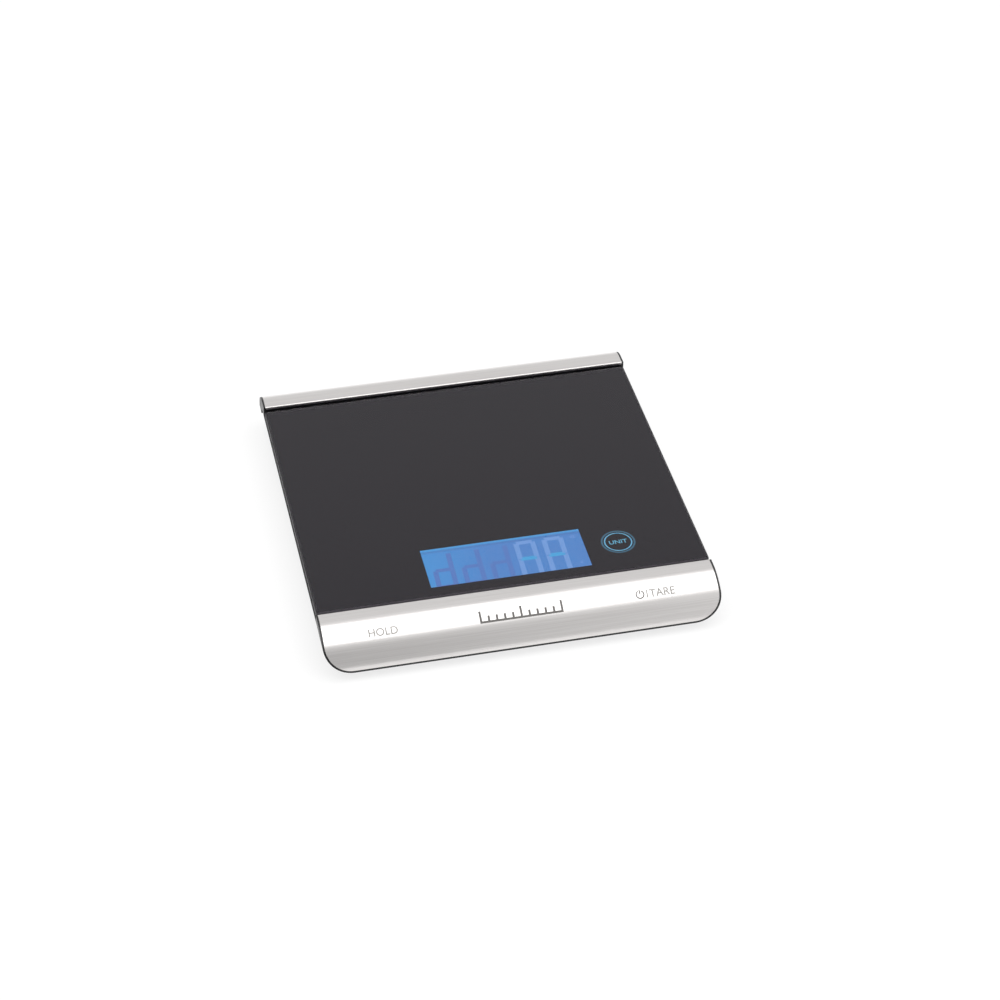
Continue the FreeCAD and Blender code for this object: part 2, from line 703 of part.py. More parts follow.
# ---------------------------------------------------------------- display and boards
def lcd_panel():
    """Two bonded sheets of glass, the lower one with a contact ledge along its front edge."""
    width, depth = window_width + 2 * lcd_border, window_depth + 2 * lcd_border
    middle = (lcd_top + lcd_bottom) / 2
    lower = block(window_x, window_y, width, depth, lcd_bottom, middle)
    upper = box(window_x - width / 2, window_x + width / 2, window_y - depth / 2 + 2.0,
                window_y + depth / 2, middle, lcd_top)
    return lower.fuse(upper)


def lcd_diffuser():
    width, depth = window_width + 2 * lcd_border, window_depth + 2 * lcd_border
    front_edge = window_y - depth / 2 + zebra_thickness + 0.3
    return box(window_x - width / 2, window_x + width / 2, front_edge, window_y + depth / 2,
               diffuser_bottom, lcd_bottom - 0.05)


def lcd_bezel():
    """Open frame that holds the display glass and its diffuser on the board."""
    outer = block(window_x, window_y, bezel_width - 0.4, bezel_depth - 0.4, board_top, lcd_top)
    clear = window_width + 2 * (lcd_border + display_play) - 0.2
    inner = block(window_x, window_y, clear, window_depth + 2 * (lcd_border + display_play) - 0.2,
                  board_top - 1, lcd_top + 1)
    return outer.cut(inner)


def zebra_strip():
    """Rubber connector between the display's contact ledge and the board."""
    depth = window_depth + 2 * lcd_border
    y0 = window_y - depth / 2 + 0.1
    return box(window_x - window_width / 2, window_x + window_width / 2, y0, y0 + zebra_thickness,
               board_top, lcd_bottom)


def backlight_leds():
    y = window_y + window_depth / 2 - 4.0
    pitch = window_width / 4
    return Part.makeCompound([block(window_x + i * pitch, y, 3.0, 2.0, board_top, board_top + 1.2)
                              for i in (-1.5, -0.5, 0.5, 1.5)])


def main_board():
    board = rounded_block(window_x, window_y, main_board_width, main_board_depth,
                          board_bottom, board_top, 1.5)
    return cut_all(board, [rod(x, y, board_bottom - 1, board_top + 1, small_screw_radius + 0.2)
                           for x, y in board_post_places])


def controller_chip():
    return rounded_block(window_x - 12.0, window_y, 10.0, 10.0, board_bottom - 1.4, board_bottom, 0.4)


def converter_chip():
    return block(window_x + 12.0, window_y + 3.0, 6.0, 4.0, board_bottom - 1.4, board_bottom)


def board_components():
    """Crystal, capacitors and resistors on the board's underside."""
    crystal = block(window_x - 1.0, window_y - 6.0, 6.0, 2.2, board_bottom - 1.3, board_bottom)
    cans = [rod(window_x + 22.0 + 5.5 * i, window_y - 5.0, board_bottom - 1.7, board_bottom, 2.0)
            for i in range(2)]
    chips = [block(window_x - 22.0 + 3.2 * i, window_y + 9.0, 1.8, 1.0, board_bottom - 0.6, board_bottom)
             for i in range(8)]
    return Part.makeCompound([crystal] + cans + chips)


def unit_light_guide():
    disc = rod(unit_x, unit_y, unit_guide_bottom, lcd_top, unit_guide_radius)
    return disc.cut(rod(unit_x, unit_y, unit_guide_bottom - 1, unit_guide_bottom + 1.2, 2.4))


def unit_led():
    return block(unit_x, unit_y, 3.0, 2.0, unit_board_top, unit_board_top + unit_led_height)


def unit_board():
    board = rounded_block(unit_x, unit_y, 2 * touch_coil_radius + 3.0, unit_board_length,
                          unit_board_top - board_thickness, unit_board_top, 2.0)
    return cut_all(board, [rod(x, y, unit_board_top - 3, unit_board_top + 1, small_screw_radius + 0.2)
                           for x, y in unit_post_places])


def unit_touch_spring():
    """Sensing coil between the board and the underside of the glass."""
    height = lcd_top - unit_board_top - touch_wire - 0.1
    solid = coil(touch_coil_radius, touch_wire, height, 2.5)
    solid.translate(vec(unit_x, unit_y, unit_board_top + touch_wire / 2))
    return solid


# ---------------------------------------------------------------- hidden keys
def key_pad(x):
    """Key cap under the steel, its crown bent to the trim's inner face."""
    pad = block(0, 0, key_width, key_depth, flange_top - 0.5, 0)
    flange = block(0, 0, key_width + 2 * key_flange, key_depth + 2 * key_flange, flange_bottom, flange_top)
    stem = rod(0, 0, stem_bottom, flange_bottom + 0.5, 2.2)
    inner = front_bend - pad_top_depth
    crown = Part.makeCylinder(inner, 60, vec(-30, 0, -front_bend), vec(1, 0, 0))
    return at_key(fuse_all([pad.common(crown), flange, stem]), x)


def key_button(x):
    return at_key(rod(0, 0, switch_top - 1.0, stem_bottom, switch_button_radius), x)


def key_switch(x):
    body = block(0, 0, switch_size, switch_size, key_board_top, switch_top)
    bore = rod(0, 0, switch_top - 1.0 - key_travel - 0.2, switch_top + 1, switch_button_radius + 0.1)
    return at_key(body.cut(bore), x)


def key_board(x):
    board = block(0, 0, key_board_width, key_board_depth, key_board_bottom, key_board_top)
    holes = [rod(side * key_post_x, 0, key_board_bottom - 1, key_board_top + 1, small_screw_radius + 0.2)
             for side in (-1, 1)]
    return at_key(cut_all(board, holes), x)


# ---------------------------------------------------------------- feet and load cells
def retainer_posts(x, y):
    reach = load_cell_size / 2 + 3.2
    return [(x, y - reach), (x, y + reach)]


def foot(x, y):
    """Foot cup with a pin that snaps through the load cell's tongue."""
    shoulder = load_cell_bottom - foot_travel - 0.05
    cup = rod(x, y, pad_height, shoulder - 1.0, foot_radius)
    cup = cup.makeFillet(0.5, [e for e in cup.Edges if e.BoundBox.ZMax < pad_height + 1e-6])
    neck = rod(x, y, shoulder - 1.5, shoulder, 4.6)
    pin = rod(x, y, shoulder - 0.5, load_cell_top + 0.05, pin_radius)
    head = Part.makeCone(pin_head, pin_radius, 1.0, vec(x, y, load_cell_top + 0.05))
    solid = fuse_all([cup, neck, pin, head])
    return solid.cut(rod(x, y, pad_height - 1, pad_height + pad_recess, pad_radius + 0.1))


def foot_pad(x, y):
    pad = rod(x, y, 0, pad_height + pad_recess - 0.05, pad_radius)
    return pad.makeChamfer(0.4, [e for e in pad.Edges if e.BoundBox.ZMax < 1e-6])


def load_cell(x, y):
    """Steel plate with a tongue left between two slots and a cross slot."""
    plate = rounded_block(x, y, load_cell_size, load_cell_size, load_cell_bottom, load_cell_top, 2.0)
    half = tongue_width / 2
    near, far = y - tongue_reach / 2, y + tongue_reach / 2
    low, high = load_cell_bottom - 1, load_cell_top + 1
    cuts = [box(x - half - tongue_slot, x - half, near, far, low, high),
            box(x + half, x + half + tongue_slot, near, far, low, high),
            box(x - half - tongue_slot, x + half + tongue_slot, near, near + tongue_slot, low, high),
            rod(x, y, low, high, pin_radius + pin_play)]
    return cut_all(plate, cuts)


def strain_gauges():
    """Sealed gauge bonded across the root of each tongue."""
    return Part.makeCompound([block(x, y + gauge_y, gauge_width, 4.0, load_cell_top, load_cell_top + 0.8)
                              for x, y in foot_places])


def load_cell_retainer(x, y):
    """Frame that holds the load cell's rim down on its seat."""
    size = load_cell_size
    ring = rounded_block(x, y, size, size, load_cell_top, retainer_top, 2.0)
    ring = ring.cut(rounded_block(x, y, size - 7.0, size - 7.0, load_cell_top - 1, retainer_top + 1, 2.0))
    ear_width = 7.0
    ears = []
    for px, py in retainer_posts(x, y):
        edge_y = y + math.copysign(size / 2, py - y)
        ears.append(block(px, (py + edge_y) / 2, ear_width, ear_width, load_cell_top, retainer_top))
        ears.append(rod(px, py, load_cell_top, retainer_top, ear_width / 2))
    ring = fuse_all([ring] + ears)
    opening = rounded_block(x, y, size - 7.0, size - 7.0, load_cell_top - 1, retainer_top + 1, 2.0)
    holes = [rod(px, py, load_cell_top - 1, retainer_top + 1, small_screw_radius + 0.2)
             for px, py in retainer_posts(x, y)]
    side = math.copysign(1, x)
    lead_way = block(x - side * size / 2, y + gauge_y, 9.0, 2 * lead_radius + 0.6,
                     load_cell_top - 1, retainer_top + 1)
    return cut_all(ring, [opening, lead_way] + holes)


# ---------------------------------------------------------------- fasteners
def screw(x, y, seat, length, radius, head_radius, head_height):
    """Pan-head screw driven upwards: the head's bearing face is at the seat."""
    head = rod(x, y, seat - head_height, seat, head_radius)
    rim = [e for e in head.Edges if e.BoundBox.ZMax < seat - head_height + 1e-6]
    head = head.makeFillet(head_height * 0.4, rim)
    shank = rod(x, y, seat - 0.3, seat + length, radius)
    slots = [block(x, y, head_radius * 1.1, 0.5, seat - head_height - 1, seat - head_height * 0.45),
             block(x, y, 0.5, head_radius * 1.1, seat - head_height - 1, seat - head_height * 0.45)]
    return cut_all(head.fuse(shank), slots)


def small_screw(x, y, seat, length):
    return screw(x, y, seat, length, small_screw_radius, small_head_radius, small_head_height)


def housing_screws():
    return Part.makeCompound([screw(x, y, screw_seat, 8.0, screw_radius, screw_head_radius, screw_head_height)
                              for x, y in screw_places])


def board_screws():
    screws = [small_screw(x, y, board_bottom, 4.0) for x, y in board_post_places]
    screws += [small_screw(x, y, unit_board_top - board_thickness, 3.2) for x, y in unit_post_places]
    return Part.makeCompound(screws)


def key_screws():
    return Part.makeCompound([at_key(small_screw(side * key_post_x, 0, key_board_bottom, 4.0), x)
                              for x in key_places.values() for side in (-1, 1)])


def retainer_screws():
    """Driven downwards into the housing's posts."""
    screws = []
    for x, y in foot_places:
        for px, py in retainer_posts(x, y):
            one = small_screw(0, 0, 0, 4.5)
            one.rotate(vec(0, 0, 0), vec(1, 0, 0), 180)
            one.translate(vec(px, py, retainer_top))
            screws.append(one)
    return Part.makeCompound(screws)


# ---------------------------------------------------------------- leads and label
def lead(points, bends):
    """Round lead along straight runs joined by tangent arcs, each bend with its own radius."""
    points = [vec(*p) for p in points]
    edges, last = [], points[0]
    for i, bend in enumerate(bends, start=1):
        before = (points[i] - points[i - 1]).normalize()
        after = (points[i + 1] - points[i]).normalize()
        turn = before.getAngle(after)
        reach = bend * math.tan(turn / 2)
        start, end = points[i] - before * reach, points[i] + after * reach
        side = (after - before).normalize()
        middle = points[i] + side * (bend / math.cos(turn / 2) - bend)
        edges += [line(last, start), arc(start, middle, end)]
        last = end
    edges.append(line(last, points[-1]))
    path = Part.Wire(edges)
    heading = (points[1] - points[0]).normalize()
    section = Part.Wire(Part.makeCircle(lead_radius, points[0], heading))
    return path.makePipeShell([section], True, False)


def load_cell_leads():
    """One sheathed lead from each strain gauge to the underside of the main board."""
    leads = []
    for x, y in foot_places:
        side = math.copysign(1, x)
        start = (x - side * (gauge_width / 2 + 0.05), y + gauge_y, lead_level)
        edge_x = window_x + side * (main_board_width / 2 - 6.0)
        if y < glass_y:
            leads.append(lead([start, (edge_x, start[1], lead_level)], []))
        else:
            down_x = x - side * (load_cell_size / 2 + 4.0)
            land_y = (window_y + main_board_depth / 2
                      - post_edge - small_head_radius - lead_radius - 0.4)
            leads.append(lead([start, (down_x, start[1], lead_level), (down_x, land_y, lead_level),
                               (edge_x, land_y, lead_level)], [lead_bend, lead_bend]))
    return Part.makeCompound(leads)


def battery_leads():
    """Two leads from the contacts' tails to the back edge of the main board."""
    leads = []
    for i, way in enumerate((-1, 1)):
        y = battery_y + way * cell_shift
        start_x = battery_half_x + battery_wall + tail_reach + 0.05
        run_x = start_x + lead_bend + 1.5 + 3.0 * i
        land_y = window_y + main_board_depth / 2 - 4.0
        leads.append(lead([(start_x, y, lead_level), (run_x, y, lead_level), (run_x, land_y, lead_level)],
                          [lead_bend]))
    return Part.makeCompound(leads)


def key_leads():
    """One lead from the inner end of each key board to the front edge of the main board."""
    middle = front.point(key_angle, -(key_board_top + key_board_bottom) / 2)
    land_y = window_y - main_board_depth / 2 + 4.0
    leads = []
    for x in key_places.values():
        side = math.copysign(1, x)
        start_x = x - side * (key_board_width / 2 + 0.05)
        board_end = window_x + side * (main_board_width / 2 - 9.7)
        run_x = side * min(abs(start_x) - lead_bend - 1.0, abs(board_end))
        start = (start_x, middle.y, middle.z)
        bend = (run_x, middle.y, middle.z)
        leads.append(lead([start, bend, (run_x, land_y, lead_level)], [lead_bend]))
    return Part.makeCompound(leads)


def rating_label():
    return rounded_block(0, glass_y - 12.0, 60.0, 26.0, floor_height - 0.15, floor_height, 2.0)


# ---------------------------------------------------------------- assembly
def build():
    pieces = {
        "glass_platform": glass_platform(),
        "glass_print": glass_print(),
        "glass_adhesive": glass_adhesive(),
        "front_trim": front_trim(),
        "back_trim": back_trim(),
        "trim_tapes": trim_tapes(),
        "upper_frame": upper_frame(),
        "lower_housing": lower_housing(),
        "battery_door": battery_door(),
        "battery_cell_right": battery_cell(1),
        "battery_cell_left": battery_cell(-1),
        "battery_link": battery_link(),
        "battery_plus_contact": battery_plus_contact(),
        "battery_minus_contact": battery_minus_contact(),
        "lcd_panel": lcd_panel(),
        "lcd_diffuser": lcd_diffuser(),
        "lcd_bezel": lcd_bezel(),
        "zebra_strip": zebra_strip(),
        "backlight_leds": backlight_leds(),
        "main_board": main_board(),
        "controller_chip": controller_chip(),
        "converter_chip": converter_chip(),
        "board_components": board_components(),
        "unit_light_guide": unit_light_guide(),
        "unit_led": unit_led(),
        "unit_board": unit_board(),
        "unit_touch_spring": unit_touch_spring(),
        "housing_screws": housing_screws(),
        "board_screws": board_screws(),
        "key_screws": key_screws(),
        "retainer_screws": retainer_screws(),
        "strain_gauges": strain_gauges(),
        "load_cell_leads": load_cell_leads(),
        "battery_leads": battery_leads(),
        "key_leads": key_leads(),
        "rating_label": rating_label(),
    }
    for name, x in key_places.items():
        pieces[name + "_key_pad"] = key_pad(x)
        pieces[name + "_key_button"] = key_button(x)
        pieces[name + "_key_switch"] = key_switch(x)
        pieces[name + "_key_board"] = key_board(x)
    for name, (x, y) in zip(foot_names, foot_places):
        pieces["foot_" + name] = foot(x, y)
        pieces["foot_pad_" + name] = foot_pad(x, y)
        pieces["load_cell_" + name] = load_cell(x, y)
        pieces["load_cell_retainer_" + name] = load_cell_retainer(x, y)
    return pieces


os.makedirs("parts", exist_ok=True)
for name, shape in build().items():
    shape.exportStep("parts/" + name + ".step")
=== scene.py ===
"""Slim kitchen scale: a black glass platform between curved brushed steel trims, with a lit blue display."""
import json
import math

import bmesh
import bpy
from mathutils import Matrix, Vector


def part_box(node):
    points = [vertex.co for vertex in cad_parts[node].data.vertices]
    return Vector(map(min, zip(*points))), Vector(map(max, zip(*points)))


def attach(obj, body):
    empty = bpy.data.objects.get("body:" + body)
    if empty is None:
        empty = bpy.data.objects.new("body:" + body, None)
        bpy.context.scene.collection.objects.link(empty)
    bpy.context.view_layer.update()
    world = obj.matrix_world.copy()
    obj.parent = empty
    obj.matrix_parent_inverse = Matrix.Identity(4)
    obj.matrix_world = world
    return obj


bl_info = {
    "name": "Kitchen Scale",
    "version": (1, 0, 0),
    "blender": (4, 5, 0),
    "location": "View3D > Sidebar > Kitchen Scale",
    "description": "Finishes, printed marks and lit display of a glass-topped kitchen scale",
    "category": "Add Mesh",
}

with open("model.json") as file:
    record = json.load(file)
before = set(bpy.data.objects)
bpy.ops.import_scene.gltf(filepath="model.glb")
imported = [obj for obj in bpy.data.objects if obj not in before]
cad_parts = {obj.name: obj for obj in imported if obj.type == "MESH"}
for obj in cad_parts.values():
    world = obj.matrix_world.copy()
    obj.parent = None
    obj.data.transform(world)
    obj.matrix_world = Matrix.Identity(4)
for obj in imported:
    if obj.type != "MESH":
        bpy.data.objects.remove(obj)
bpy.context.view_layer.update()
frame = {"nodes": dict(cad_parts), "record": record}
nodes = frame["nodes"]
MM = 0.001
INK = 0.02 * MM           # thickness given to printed marks and display segments
BACK_PRINT = 0.006 * MM   # thickness given to coloured print behind the glass
LETTER_WEIGHT = 0.012     # outward growth of letters, over their nominal height


# ---------------------------------------------------------------- colours and materials
def linear(code):
    """A colour's sRGB hex code as linear red, green, blue and alpha."""
    parts = [int(code[i:i + 2], 16) / 255 for i in (0, 2, 4)]
    return [p / 12.92 if p <= 0.04045 else ((p + 0.055) / 1.055) ** 2.4 for p in parts] + [1.0]


def new_finish(name):
    """An empty material, ready for its nodes."""
    mat = bpy.data.materials.new(name)
    mat.use_nodes = True
    mat.node_tree.nodes.clear()
    return mat


def add(mat, kind, sockets=None, **settings):
    """Add a node: settings are its own options, sockets its input values or the outputs that feed them."""
    node = mat.node_tree.nodes.new(kind)
    for name, value in settings.items():
        setattr(node, name, value)
    for socket, value in (sockets or {}).items():
        if isinstance(value, bpy.types.NodeSocket):
            mat.node_tree.links.new(value, node.inputs[socket])
        else:
            node.inputs[socket].default_value = value
    return node


def shade(mat, sockets):
    """Close a material with its shader."""
    shader = add(mat, "ShaderNodeBsdfPrincipled", sockets)
    add(mat, "ShaderNodeOutputMaterial", {"Surface": shader.outputs["BSDF"]})
    return mat


def grain(mat, size, stretch=(1.0, 1.0, 1.0), detail=2.0):
    """A noise whose spots are size millimetres across, drawn out along each axis by stretch."""
    place = add(mat, "ShaderNodeTexCoord")
    scale = [1.0 / (size * MM * s) for s in stretch]
    turned = add(mat, "ShaderNodeMapping", {"Vector": place.outputs["Object"], "Scale": scale})
    noise = add(mat, "ShaderNodeTexNoise",
                {"Vector": turned.outputs["Vector"], "Scale": 1.0, "Detail": detail})
    return noise.outputs["Fac"]


def between(mat, factor, low, high):
    """A noise, which seldom leaves the middle of its range, as a number from low to high."""
    return ramp(mat, factor, 0.3, 0.7, low, high)


def tint(mat, factor, dark, light):
    """Two colours mixed by a noise or mask."""
    mixed = add(mat, "ShaderNodeMixRGB", {"Fac": factor, "Color1": dark, "Color2": light})
    return mixed.outputs["Color"]


def relief(mat, height, depth):
    """A bump of depth millimetres."""
    bump = add(mat, "ShaderNodeBump", {"Height": height, "Distance": depth * MM, "Strength": 1.0})
    return bump.outputs["Normal"]


def maths(mat, operation, *values, **settings):
    """The result of a sum on numbers or sockets."""
    node = add(mat, "ShaderNodeMath", dict(enumerate(values)), operation=operation, **settings)
    return node.outputs[0]


def ramp(mat, value, start, end, low=0.0, high=1.0):
    """Low until a value reaches start, then even steps to high at end."""
    spread = add(mat, "ShaderNodeMapRange", {
        "Value": value, "From Min": start, "From Max": end, "To Min": low, "To Max": high})
    return spread.outputs["Result"]


def axes_of(mat, kind="Object"):
    """The three coordinates of the point being shaded."""
    place = add(mat, "ShaderNodeTexCoord")
    return add(mat, "ShaderNodeSeparateXYZ", {"Vector": place.outputs[kind]}).outputs


def moulded(name, dark, light, roughness, grain_size, grain_depth, ior=1.53):
    """A moulded plastic or rubber: fine spark texture from the tool, a little uneven in gloss and colour."""
    mat = new_finish(name)
    spots = grain(mat, grain_size)
    clouds = grain(mat, 18.0)
    return shade(mat, {
        "Base Color": tint(mat, clouds, linear(dark), linear(light)),
        "Roughness": between(mat, clouds, roughness - 0.05, roughness + 0.05),
        "IOR": ior,
        "Normal": relief(mat, spots, grain_depth),
    })


def tempered_glass():
    """Float glass, tempered, with its sides and top edges ground: mirror-smooth faces over a faint
    trace of wiping, and satin edges that catch the light as a thin grey line."""
    mat = new_finish("tempered_float_glass")
    low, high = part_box("glass_platform")
    axes = axes_of(mat)
    middle = (low.y + high.y) / 2
    across = maths(mat, "ABSOLUTE", axes["X"])
    along = maths(mat, "ABSOLUTE", maths(mat, "SUBTRACT", axes["Y"], middle))
    edge = 0.9 * MM
    satin = 0.45
    side = maths(mat, "GREATER_THAN", across, high.x - edge)
    end = maths(mat, "GREATER_THAN", along, high.y - middle - edge)
    ground = maths(mat, "MAXIMUM", side, end)
    wiped = between(mat, grain(mat, 30.0, (3.0, 1.0, 1.0), 4.0), 0.0, 0.035)
    return shade(mat, {
        "Base Color": linear("f2f5f5"),
        "Roughness": maths(mat, "MULTIPLY_ADD", ground, satin, wiped),
        "IOR": 1.52,
        "Specular Tint": (0.93, 0.86, 1.0, 1.0),
        "Transmission Weight": 1.0,
    })


def screen_print():
    """Black ceramic ink fired on the back of the glass: dense, with a faint mottle in its gloss."""
    mat = new_finish("fired_black_screen_ink")
    mottle = grain(mat, 2.5, detail=3.0)
    return shade(mat, {
        "Base Color": tint(mat, mottle, linear("1d1a24"), linear("1f1c26")),
        "Roughness": between(mat, mottle, 0.46, 0.5),
        "IOR": 1.5,
    })


def brushed_steel():
    """Stainless steel sheet, brushed along its length: long fine scratches run in X and spread every
    highlight across them. Real scratches are about 0.1 mm apart, drawn here at 0.4 mm to show."""
    mat = new_finish("brushed_stainless_steel")
    scratches = grain(mat, 0.4, (140.0, 1.0, 1.0), 4.0)
    bands = grain(mat, 2.2, (60.0, 1.0, 1.0), 2.0)
    lines = add(mat, "ShaderNodeTangent", direction_type="RADIAL", axis="X")
    return shade(mat, {
        "Base Color": tint(mat, scratches, linear("d4d0ce"), linear("f2f0ef")),
        "Metallic": 1.0,
        "Roughness": between(mat, bands, 0.29, 0.35),
        "Anisotropic": 0.88,
        "Anisotropic Rotation": 0.25,
        "Tangent": lines.outputs["Tangent"],
        "Normal": relief(mat, scratches, 0.006),
    })


def plated_steel(name, dark, light, roughness):
    """Plated or bare sheet steel and wire: bright, with the fine drag marks of rolling or stamping."""
    mat = new_finish(name)
    drag = grain(mat, 0.3, (1.0, 20.0, 1.0), 3.0)
    return shade(mat, {
        "Base Color": tint(mat, drag, linear(dark), linear(light)),
        "Metallic": 1.0,
        "Roughness": between(mat, drag, roughness - 0.06, roughness + 0.06),
        "Normal": relief(mat, drag, 0.004),
    })


LCD_UNLIT = "10264a"
LCD_BODY = "2c80cb"
LCD_BODY_VIOLET = "3a77c2"
LCD_LEFT = "1f90d8"
LCD_LINE = "2566ad"
LCD_BACK = "2b9ade"


def backlit_display():
    """Negative blue liquid crystal lit from behind: brightest along its back and left edges, where the
    light-emitting diodes sit, with a thin darker line inside the back edge and a slight violet cast."""
    mat = new_finish("backlit_blue_liquid_crystal")
    low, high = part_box("lcd_panel")
    border = bpy.context.scene.scale_display.glass_border
    axes = axes_of(mat)
    left_edge, back_edge = low.x + border, high.y - border
    left = ramp(mat, axes["X"], left_edge, left_edge + 34 * MM, 0.8, 0.0)
    glow = ramp(mat, axes["Y"], back_edge - 1.9 * MM, back_edge - 0.3 * MM)
    shadow = ramp(mat, axes["Y"], back_edge - 3.3 * MM, back_edge - 2.3 * MM)
    line = maths(mat, "SUBTRACT", shadow, glow, use_clamp=True)
    body = tint(mat, grain(mat, 14.0), linear(LCD_BODY), linear(LCD_BODY_VIOLET))
    body = tint(mat, left, body, linear(LCD_LEFT))
    body = tint(mat, maths(mat, "MULTIPLY", line, 0.55), body, linear(LCD_LINE))
    body = tint(mat, glow, body, linear(LCD_BACK))
    return shade(mat, {
        "Base Color": linear(LCD_UNLIT),
        "Roughness": 0.25,
        "Specular IOR Level": 0.0,
        "Emission Color": body,
        "Emission Strength": 1.0,
    })


def lit(name, dark, light, strength, spot):
    """Something that glows by the light behind it, a little uneven as light guides are."""
    mat = new_finish(name)
    uneven = between(mat, grain(mat, spot), 0.0, 1.0)
    return shade(mat, {
        "Base Color": linear("14304e"),
        "Roughness": 0.4,
        "IOR": 1.49,
        "Emission Color": tint(mat, uneven, linear(dark), linear(light)),
        "Emission Strength": strength,
    })


def cell_jacket():
    """Plastic film shrunk on a battery cell: glossy, silver over most of its length with a dark band."""
    mat = new_finish("shrunk_film_cell_jacket")
    band = maths(mat, "LESS_THAN", axes_of(mat)["X"], -6 * MM)
    flecks = grain(mat, 0.5)
    return shade(mat, {
        "Base Color": tint(mat, band, linear("9a9da1"), linear("23282e")),
        "Metallic": 0.4,
        "Roughness": between(mat, flecks, 0.22, 0.3),
        "Coat Weight": 0.6,
        "Coat Roughness": 0.1,
    })


def circuit_board():
    """Glass-fibre board under green solder mask: glossy, with the weave just showing through."""
    mat = new_finish("green_solder_mask_board")
    place = add(mat, "ShaderNodeTexCoord")
    weave = add(mat, "ShaderNodeTexBrick", {
        "Vector": place.outputs["Object"], "Scale": 1.0 / (1.2 * MM), "Color1": linear("1d6b39"),
        "Color2": linear("1a6033"), "Mortar": linear("154f2a"), "Mortar Size": 0.06})
    return shade(mat, {
        "Base Color": weave.outputs["Color"],
        "Roughness": between(mat, grain(mat, 0.6), 0.25, 0.35),
        "IOR": 1.55,
        "Coat Weight": 0.3,
    })


def printed_label():
    """Silver polyester label: satin, with the faint streaks of its rolled film."""
    mat = new_finish("silver_polyester_label")
    streaks = grain(mat, 0.5, (40.0, 1.0, 1.0))
    return shade(mat, {
        "Base Color": tint(mat, streaks, linear("b9babc"), linear("cdced0")),
        "Metallic": 0.5,
        "Roughness": between(mat, streaks, 0.38, 0.48),
    })


def segment_light(name, colour):
    """A shaped pane of liquid crystal over the backlight: even, with a faint cloudiness."""
    mat = new_finish(name + "_liquid_crystal")
    clouds = grain(mat, 5.0)
    dim = [c * 0.9 for c in colour[:3]] + [1.0]
    return shade(mat, {
        "Base Color": linear(LCD_UNLIT),
        "Roughness": 0.25,
        "Specular IOR Level": 0.0,
        "Emission Color": tint(mat, clouds, dim, list(colour)),
        "Emission Strength": 1.0,
    })


def key_ink(name, colour):
    """Pad-printed ink on brushed steel: thin and matt, slightly worn so that the grain shows."""
    mat = new_finish(name)
    worn = grain(mat, 0.4, (140.0, 1.0, 1.0), 4.0)
    light = [min(1.0, c * 1.2) for c in colour[:3]] + [1.0]
    return shade(mat, {
        "Base Color": tint(mat, worn, list(colour), light),
        "Roughness": between(mat, worn, 0.7, 0.8),
        "Specular IOR Level": 0.2,
    })


FINISHES = {
    "clear_glass": tempered_glass,
    "black_ink": screen_print,
    # Acrylic foam tape: matt, soft and cellular
    "foam_tape": lambda: moulded("acrylic_foam_tape", "1a1a1a", "242424", 0.85, 0.25, 0.03),
    "brushed_steel": brushed_steel,
    # ABS from a polished tool with a light satin: a soft grey sheen over deep black
    "black_abs": lambda: moulded("satin_moulded_abs", "0c0c0e", "121214", 0.36, 0.35, 0.006),
    # ABS from a spark-eroded tool: matt, with a fine even grain
    "black_abs_matt": lambda: moulded("spark_textured_abs", "101012", "17171a", 0.52, 0.5, 0.02),
    "cell_jacket": cell_jacket,
    # Nickel-plated spring steel: warm and bright
    "contact_metal": lambda: plated_steel("nickel_plated_spring_steel", "b9b4a8", "d6d1c6", 0.22),
    "lcd_blue": backlit_display,
    # Acrylic with white pigment: milky and even, glowing blue where the diodes feed it
    "milky_acrylic": lambda: lit("milky_acrylic_diffuser", "3f86c8", "5aa0dc", 0.6, 10.0),
    # ABS coloured white: slightly warm, satin
    "white_abs": lambda: moulded("white_moulded_abs", "c9c8c2", "d6d5cf", 0.45, 0.4, 0.01),
    # Silicone rubber with printed carbon strips: soft and greyish
    "silicone": lambda: moulded("grey_silicone_rubber", "8d8c88", "a3a29d", 0.6, 0.3, 0.01, 1.41),
    # Phosphor-coated diode under its lens
    "led_blue": lambda: lit("blue_light_emitting_diode", "6fb4ff", "a8d4ff", 2.0, 1.0),
    "circuit_board": circuit_board,
    # Epoxy moulded over a chip: dull black with a fine grain
    "chip_epoxy": lambda: moulded("moulded_chip_epoxy", "141415", "1c1c1d", 0.6, 0.2, 0.008),
    # Acrylic light guide, edge-lit: cyan-blue and a little uneven round the ring
    "ring_acrylic": lambda: lit("edge_lit_acrylic_ring", "3f9bc8", "5cb2d6", 1.0, 4.0),
    # Zinc-plated screws: greyish and bright
    "screw_steel": lambda: plated_steel("zinc_plated_screw_steel", "9b9c9e", "bdbec0", 0.3),
    # PVC sheath, extruded: smooth, dark red
    "lead_sheath": lambda: moulded("extruded_pvc_sheath", "5a1214", "6d181a", 0.4, 0.8, 0.01),
    "label_paper": printed_label,
    # Acetal: waxy black, smoother than the housing
    "foot_pom": lambda: moulded("moulded_black_acetal", "131315", "1a1a1c", 0.38, 0.6, 0.006, 1.48),
    # Thermoplastic rubber pads: dull, dark grey, gripping
    "foot_rubber": lambda: moulded("soft_grey_rubber", "2b2b2c", "363637", 0.78, 0.35, 0.03, 1.5),
    # Stamped spring steel, left bare
    "cell_steel": lambda: plated_steel("stamped_spring_steel", "8f8d8a", "b3b1ad", 0.34),
}


